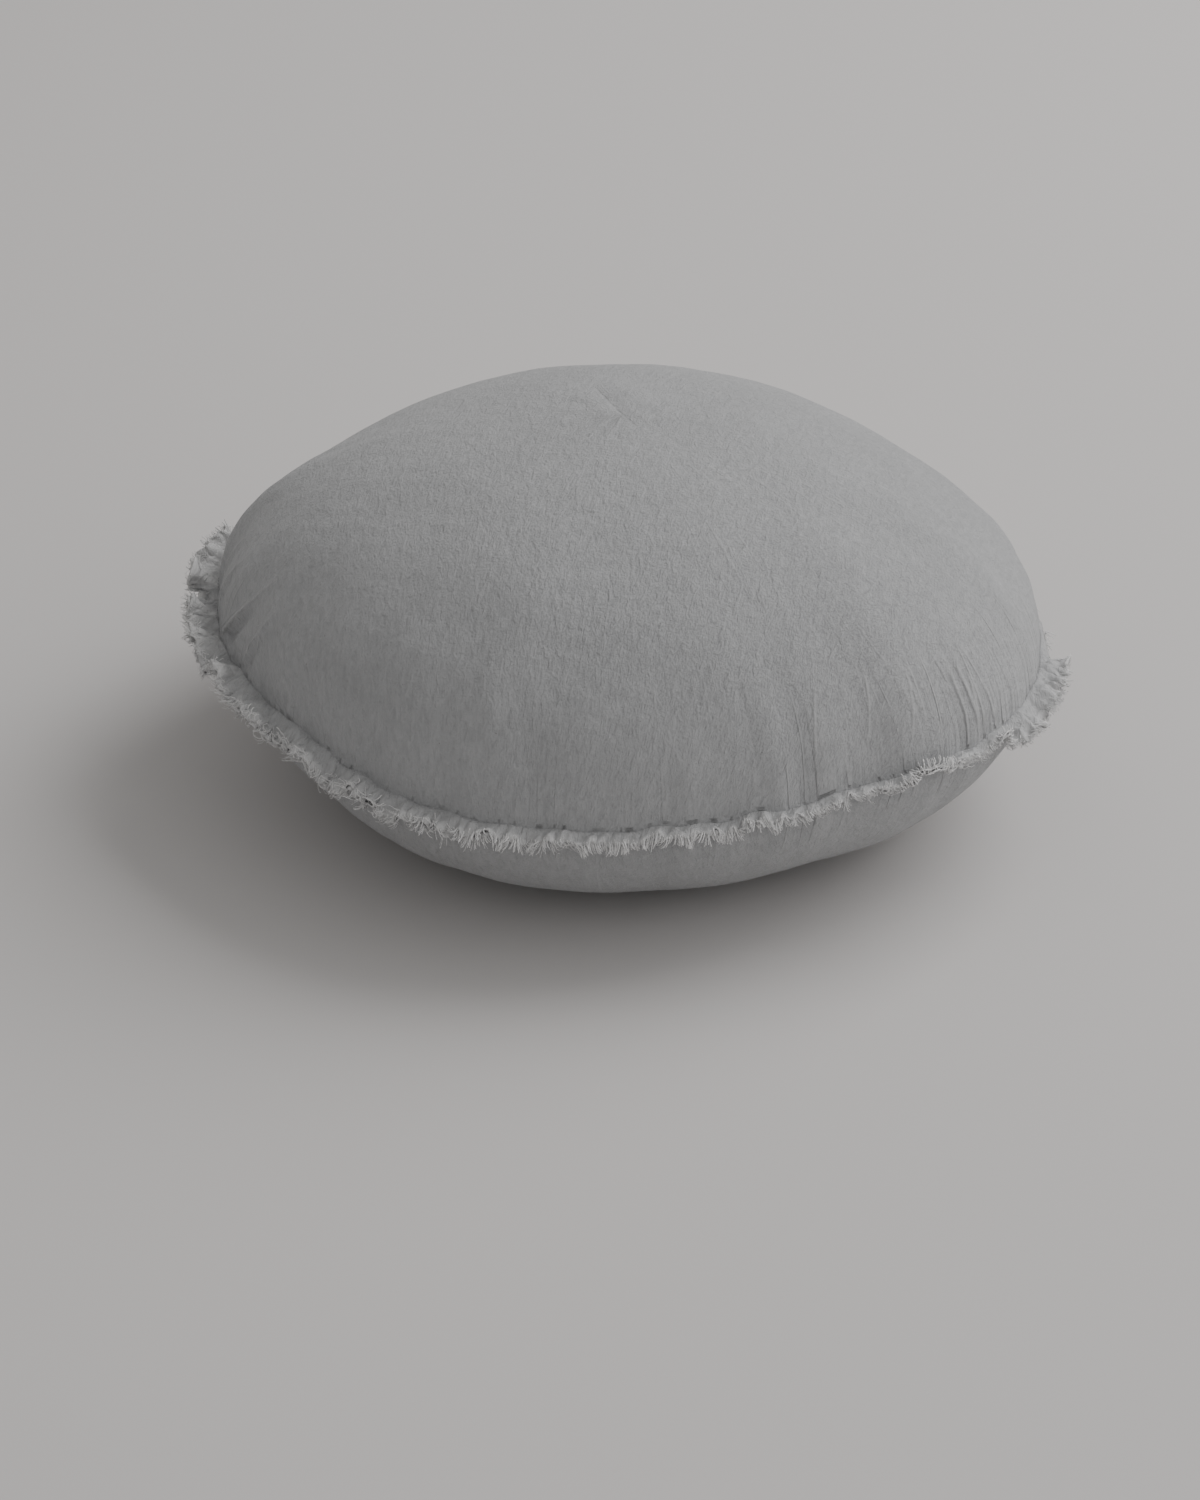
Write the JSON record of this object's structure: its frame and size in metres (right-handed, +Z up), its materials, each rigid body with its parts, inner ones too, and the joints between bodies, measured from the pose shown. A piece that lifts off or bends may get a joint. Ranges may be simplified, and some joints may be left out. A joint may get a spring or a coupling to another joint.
{
  "type": "macaron cushion",
  "caption": "Round filled linen cushion with a domed crown, a drawn-in seam and a ruffled, frayed raw edge all round, lying on its back.",
  "frame": {"origin": "on the surface, at the middle of the flat rest, under the middle of the seam's circle. The ruffled edge reaches about 11 mm further to the left than to the right, and about 9 mm further to the back than to the front.", "axes": "+Z up through the crown, -Y towards the front of the picture, +X to its right"},
  "size_m": [0.4723, 0.4512, 0.2055],
  "materials": {
    "linen": "stonewashed plain-weave linen, pale grey-blue, matt, with slubs and soft crinkles",
    "raw_edge": "the same linen cut raw and frayed, its loose threads a little whiter"
  },
  "bodies": {
    "root": {"cushion": "linen", "upper_frill": "raw_edge", "lower_frill": "raw_edge"}
  },
  "joints": []
}
